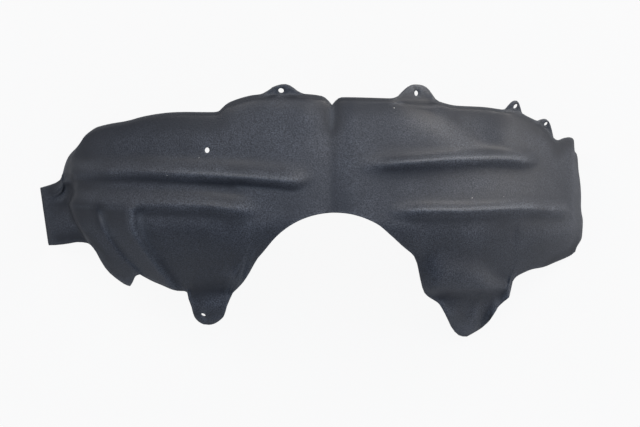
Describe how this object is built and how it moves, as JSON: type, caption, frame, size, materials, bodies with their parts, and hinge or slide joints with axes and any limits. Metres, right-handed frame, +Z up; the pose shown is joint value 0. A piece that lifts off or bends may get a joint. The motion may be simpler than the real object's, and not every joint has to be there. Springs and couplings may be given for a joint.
{
  "type": "wheel arch liner",
  "caption": "Moulded plastic liner that arches over a road wheel, with stiffening beads, a suspension cut-out, screw tabs and two feet on its inner wall.",
  "frame": {"origin": "middle of the foot of the bounding box, on the level that the two ends of the arch stand on", "axes": "+X along the car, towards the end with the two small ears; +Y towards the outer side of the car, where the tabs are; +Z up, out of the convex side"},
  "size_m": [0.781, 0.3534, 0.2776],
  "materials": {
    "liner_plastic": "grained matt black polyethylene"
  },
  "bodies": {
    "root": {"liner": "liner_plastic"}
  },
  "joints": []
}
